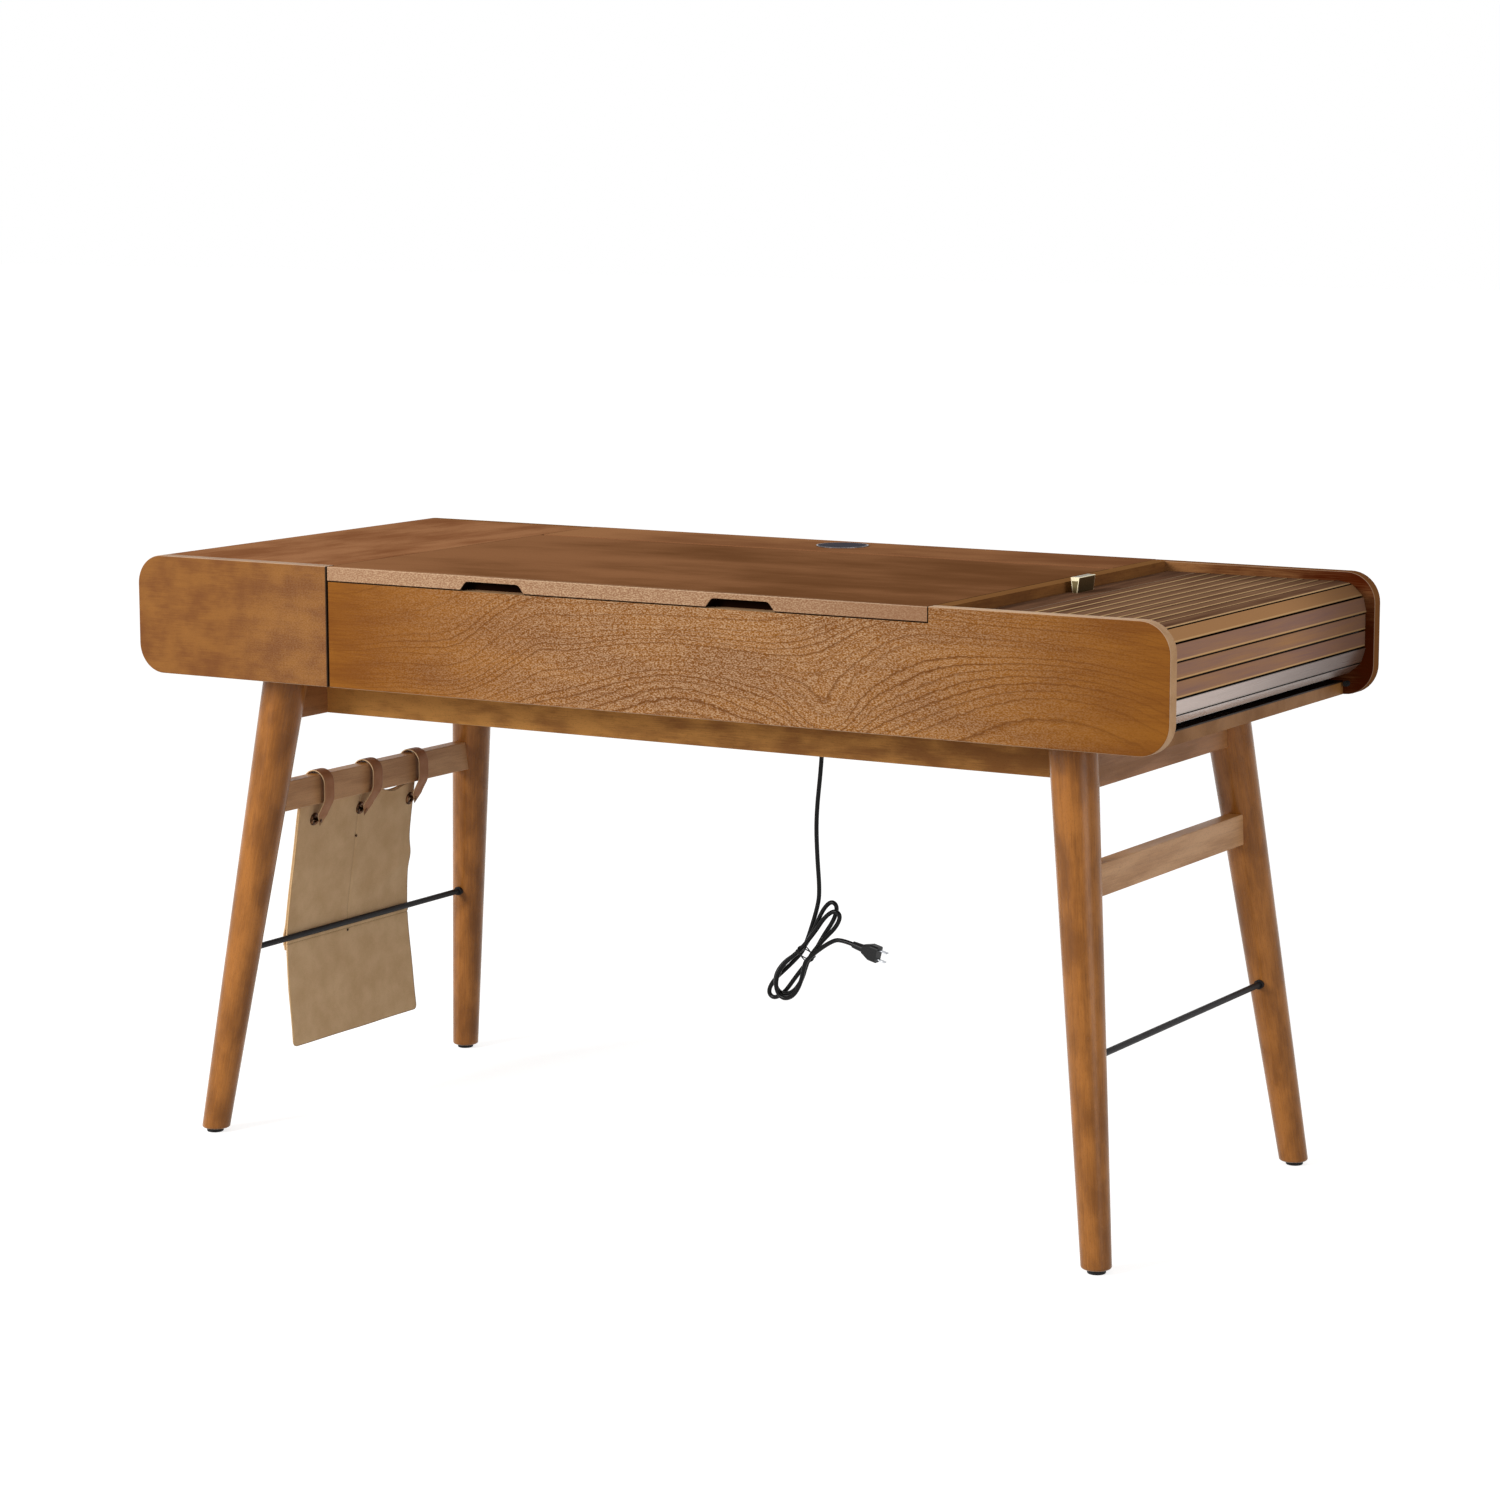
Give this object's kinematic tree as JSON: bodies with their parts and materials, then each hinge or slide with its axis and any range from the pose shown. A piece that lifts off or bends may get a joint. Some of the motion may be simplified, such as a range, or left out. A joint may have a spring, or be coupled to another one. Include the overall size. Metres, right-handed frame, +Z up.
{
  "type": "writing desk",
  "caption": "Wooden writing desk on splayed legs, with a lift-up lid, drawer, sliding tambour, hanging pouch and power point with its lead.",
  "frame": {"origin": "on the floor, under the middle of the case", "axes": "+X to the right of someone who sits at the desk, +Y to the back, +Z up"},
  "size_m": [1.47, 0.61, 0.767],
  "materials": {
    "stained_board": "satin lacquer over walnut-coloured stain",
    "stained_solid": "satin lacquer over walnut-coloured stain",
    "stained_slat": "semi-gloss lacquer over stain",
    "inner_ply": "thin matt lacquer",
    "black_steel": "black powder coat",
    "black_nylon": "moulded",
    "zinc_steel": "zinc plated",
    "pivot_brass": "turned",
    "aged_brass": "aged, with bright edges",
    "backing_cloth": "woven cotton",
    "khaki_suede": "brushed suede",
    "tan_leather": "smooth",
    "dark_bronze": "dark bronze",
    "satin_rim": "satin",
    "charcoal_gloss": "polished",
    "black_plastic": "moulded",
    "cord_jacket": "smooth"
  },
  "bodies": {
    "desk": {"leg_front_left": "stained_solid", "leg_front_right": "stained_solid", "leg_back_left": "stained_solid", "leg_back_right": "stained_solid", "leg_glides": "black_nylon", "side_apron_left": "stained_solid", "side_apron_right": "stained_solid", "cross_apron_front": "stained_solid", "cross_apron_back": "stained_solid", "stretcher_left": "stained_solid", "stretcher_right": "stained_solid", "rod_left": "black_steel", "rod_right": "black_steel", "rod_ferrules": "black_steel", "front_board": "stained_board", "back_board": "stained_board", "left_shell": "stained_board", "bottom_board": "stained_board", "left_divider": "inner_ply", "right_divider": "stained_board", "rear_strip": "stained_board", "cable_bay_panel": "inner_ply", "lid_pivot_bushes": "pivot_brass", "runner_rails": "zinc_steel", "tambour_top_slats": "stained_slat", "tambour_end_slats": "stained_slat", "tambour_top_cloth": "backing_cloth", "tambour_end_cloth": "backing_cloth", "tambour_floor": "inner_ply", "tambour_inner_end": "inner_ply", "tambour_stop_pegs": "black_nylon", "power_ring": "satin_rim", "power_cap": "charcoal_gloss", "power_body": "black_plastic", "cord_bush": "black_plastic", "cord_inner": "cord_jacket", "cord_drop": "cord_jacket", "cord_hank": "cord_jacket", "cord_tie": "black_plastic", "cord_stub": "cord_jacket", "plug": "black_plastic", "plug_blades": "zinc_steel"},
    "lid": {"lid": "stained_board", "lid_pivot_pins": "zinc_steel"},
    "drawer": {"drawer_front": "stained_board", "drawer_side_left": "inner_ply", "drawer_side_right": "inner_ply", "drawer_back": "inner_ply", "drawer_bottom": "inner_ply", "runner_slides": "zinc_steel"},
    "tambour_lead": {"tambour_lead_rail": "stained_board", "tambour_pull": "aged_brass", "tambour_pull_screws": "zinc_steel"},
    "pouch": {"pouch_main_panel": "khaki_suede", "pouch_pocket": "khaki_suede", "pouch_eyelets": "dark_bronze", "pouch_straps": "tan_leather", "pouch_studs": "dark_bronze"}
  },
  "joints": [
    {"name": "lid_hinge", "type": "hinge", "parent": "desk", "child": "lid", "pos_m": [0, 0.1685, 0.7505], "axis": [-1, 0, 0], "range_deg": [0, 95]},
    {"name": "drawer_slide", "type": "slide", "parent": "desk", "child": "drawer", "axis": [0, -1, 0], "range_m": [0, 0.4]},
    {"name": "tambour_slide", "type": "slide", "parent": "desk", "child": "tambour_lead", "axis": [1, 0, 0], "range_m": [0, 0.17], "deforming": ["tambour_top_slats", "tambour_top_cloth"]},
    {"name": "pouch_swing", "type": "hinge", "parent": "desk", "child": "pouch", "pos_m": [-0.5897, -0.021, 0.446], "axis": [0, 1, 0], "range_deg": [0, 12]}
  ]
}
